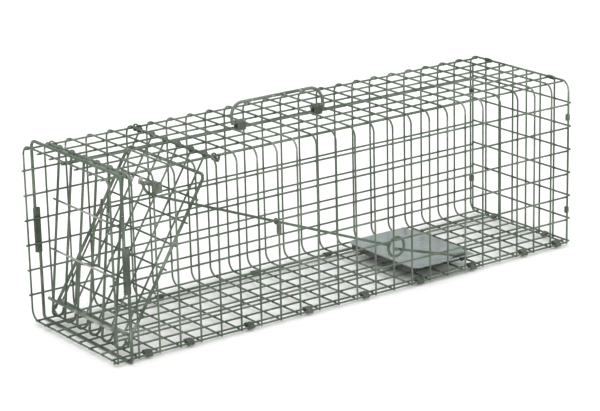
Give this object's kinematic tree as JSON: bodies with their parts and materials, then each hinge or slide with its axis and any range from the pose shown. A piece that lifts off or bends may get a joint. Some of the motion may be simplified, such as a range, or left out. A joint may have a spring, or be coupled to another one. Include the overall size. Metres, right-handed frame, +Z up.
{
  "type": "live catch trap",
  "caption": "Wire mesh cage trap with an inclined drop door behind a swinging lock gate, a treadle plate, a trip rod and a folding carry handle.",
  "frame": {"origin": "on the ground, under the middle of the trap's overall box", "axes": "+X from the door end to the closed end, +Y from the trigger side to the plain side, +Z up"},
  "size_m": [0.6192, 0.1822, 0.2236],
  "materials": {
    "coated_wire": "grey-green powder coat, satin, slightly worn at the welds",
    "clip_steel": "dark olive coated sheet and rod, satin",
    "bare_rod": "zinc-bright bent rod, worn at the bends",
    "plate_sheet": "blue-grey coated sheet, fairly glossy"
  },
  "bodies": {
    "cage": {"near_side_mesh": "coated_wire", "top_mesh": "coated_wire", "far_side_mesh": "coated_wire", "floor_mesh": "coated_wire", "back_mesh": "coated_wire", "hoop_upper": "coated_wire", "hoop_lower": "coated_wire", "hoop_ferrules": "clip_steel", "floor_seam_clips": "clip_steel", "floor_lip_clips": "clip_steel", "back_panel_clips": "clip_steel", "door_hinge_rod": "coated_wire", "door_hinge_clips": "clip_steel", "gate_hinge_rod": "coated_wire", "gate_hinge_clips": "clip_steel", "trigger_guide": "clip_steel", "latch_bracket": "clip_steel", "latch_pin": "bare_rod", "treadle_pivot_rod": "bare_rod", "treadle_brackets": "clip_steel", "handle_clips": "clip_steel"},
    "door": {"door_mesh": "coated_wire", "door_frame_rod": "coated_wire", "door_bottom_bar": "coated_wire"},
    "gate": {"gate_mesh": "coated_wire", "gate_bottom_bar": "coated_wire", "lock_rod": "clip_steel"},
    "trigger": {"trigger_rod": "bare_rod"},
    "latch": {"trip_latch": "bare_rod"},
    "treadle": {"treadle_plate": "plate_sheet", "treadle_arm": "bare_rod"},
    "handle": {"handle_bail": "bare_rod"}
  },
  "joints": [
    {"name": "door_hinge", "type": "hinge", "parent": "cage", "child": "door", "pos_m": [-0.1713, 0, 0.1925], "axis": [0, 1, 0], "range_deg": [0, 42]},
    {"name": "gate_hinge", "type": "hinge", "parent": "cage", "child": "gate", "pos_m": [-0.2753, 0, 0.1925], "axis": [0, 1, 0], "range_deg": [0, 59]},
    {"name": "treadle_hinge", "type": "hinge", "parent": "cage", "child": "treadle", "pos_m": [0.17095, 0, 0.01684], "axis": [0, -1, 0], "range_deg": [0, 3]},
    {"name": "trigger_pivot", "type": "hinge", "parent": "cage", "child": "trigger", "pos_m": [-0.1021, -0.0798, 0.11228], "axis": [0, 1, 0], "range_deg": [0, 2.1]},
    {"name": "latch_hinge", "type": "hinge", "parent": "cage", "child": "latch", "pos_m": [-0.2473, -0.0798, 0.18005], "axis": [0, 1, 0], "range_deg": [0, 10]},
    {"name": "handle_hinge", "type": "hinge", "parent": "cage", "child": "handle", "pos_m": [-0.0987, 0, 0.20115], "axis": [1, 0, 0], "range_deg": [-80, 90]}
  ],
  "couplings": [
    {"joint": "gate_hinge", "follows": "door_hinge", "ratio": 1.4},
    {"joint": "trigger_pivot", "follows": "treadle_hinge", "ratio": 0.68}
  ]
}
